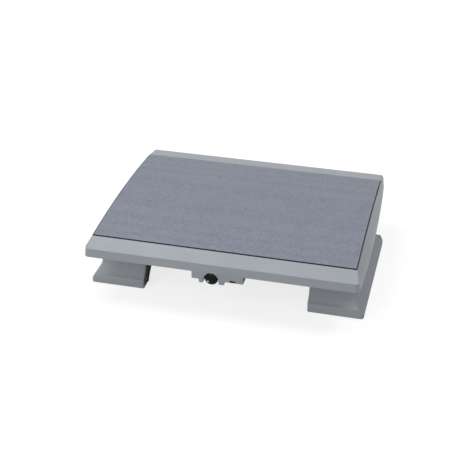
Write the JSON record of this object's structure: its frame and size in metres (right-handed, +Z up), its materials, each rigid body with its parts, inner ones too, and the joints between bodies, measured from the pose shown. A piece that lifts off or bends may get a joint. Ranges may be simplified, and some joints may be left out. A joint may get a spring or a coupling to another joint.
{
  "type": "tilting footrest",
  "caption": "Desk footrest: a carpeted, gently crowned plastic deck that tilts on two hollow coved pedestals and is locked by a screw knob under its front edge.",
  "frame": {"origin": "on the floor, under the middle of the level deck", "axes": "+X right along the front edge, +Y to the back, +Z up"},
  "size_m": [0.463, 0.356, 0.1117],
  "materials": {
    "grey_plastic": "fine satin texture, cool light grey",
    "carpet_fibre": "short looped carpet, blue grey",
    "black_plastic": "black, knob slightly glossy",
    "natural_plastic": "natural bearing plastic",
    "black_rubber": "matt",
    "lining": "friction lining, dark brown",
    "zinc_plated_steel": "zinc plated",
    "dark_steel": "blackened",
    "cast_zinc": "plain die-cast metal"
  },
  "bodies": {
    "base": {"left_pedestal": "grey_plastic", "right_pedestal": "grey_plastic", "left_cheek": "black_plastic", "right_cheek": "black_plastic", "left_stretcher_plug": "black_plastic", "right_stretcher_plug": "black_plastic", "left_foot_pad_1": "black_rubber", "left_foot_pad_2": "black_rubber", "left_foot_pad_3": "black_rubber", "left_foot_pad_4": "black_rubber", "right_foot_pad_1": "black_rubber", "right_foot_pad_2": "black_rubber", "right_foot_pad_3": "black_rubber", "right_foot_pad_4": "black_rubber", "pivot_tube": "zinc_plated_steel", "stretcher_tube": "zinc_plated_steel", "sector_pin": "zinc_plated_steel", "left_cheek_screw_1": "zinc_plated_steel", "left_cheek_screw_2": "zinc_plated_steel", "left_cheek_screw_3": "zinc_plated_steel", "left_cheek_screw_4": "zinc_plated_steel", "right_cheek_screw_1": "zinc_plated_steel", "right_cheek_screw_2": "zinc_plated_steel", "right_cheek_screw_3": "zinc_plated_steel", "right_cheek_screw_4": "zinc_plated_steel", "left_stretcher_bolt": "dark_steel", "right_stretcher_bolt": "dark_steel", "tube_set_screw_1": "dark_steel", "tube_set_screw_2": "dark_steel", "tilt_sector": "cast_zinc"},
    "deck": {"deck_shell": "grey_plastic", "carpet": "carpet_fibre", "left_saddle_bush": "natural_plastic", "right_saddle_bush": "natural_plastic", "left_saddle_cap": "black_plastic", "right_saddle_cap": "black_plastic", "lock_housing": "grey_plastic", "lock_nut": "zinc_plated_steel", "shoe_guide": "black_plastic", "saddle_screw_1": "zinc_plated_steel", "saddle_screw_2": "zinc_plated_steel", "saddle_screw_3": "zinc_plated_steel", "saddle_screw_4": "zinc_plated_steel", "housing_screw_1": "zinc_plated_steel", "housing_screw_2": "zinc_plated_steel", "housing_screw_3": "zinc_plated_steel", "guide_screw_1": "zinc_plated_steel", "guide_screw_2": "zinc_plated_steel", "stop_bumper_1": "black_rubber", "stop_bumper_2": "black_rubber", "stop_bumper_3": "black_rubber", "stop_bumper_4": "black_rubber"},
    "shoe": {"brake_shoe": "cast_zinc", "brake_lining": "lining", "screw_clip": "dark_steel"},
    "knob": {"lock_knob": "black_plastic", "lock_screw": "zinc_plated_steel"}
  },
  "joints": [
    {"name": "deck_tilt", "type": "hinge", "parent": "base", "child": "deck", "pos_m": [0, -0.018, 0.063], "axis": [1, 0, 0], "range_deg": [-10, 15]},
    {"name": "shoe_slide", "type": "slide", "parent": "deck", "child": "shoe", "axis": [0, 1, 0], "range_m": [-0.0019, 0]},
    {"name": "knob_turn", "type": "hinge", "parent": "shoe", "child": "knob", "pos_m": [-0.012, -0.1775, 0.063], "axis": [0, 1, 0], "range_deg": [-540, 0]}
  ],
  "couplings": [
    {"joint": "shoe_slide", "follows": "knob_turn", "m_per_rad": 0.00019894}
  ]
}
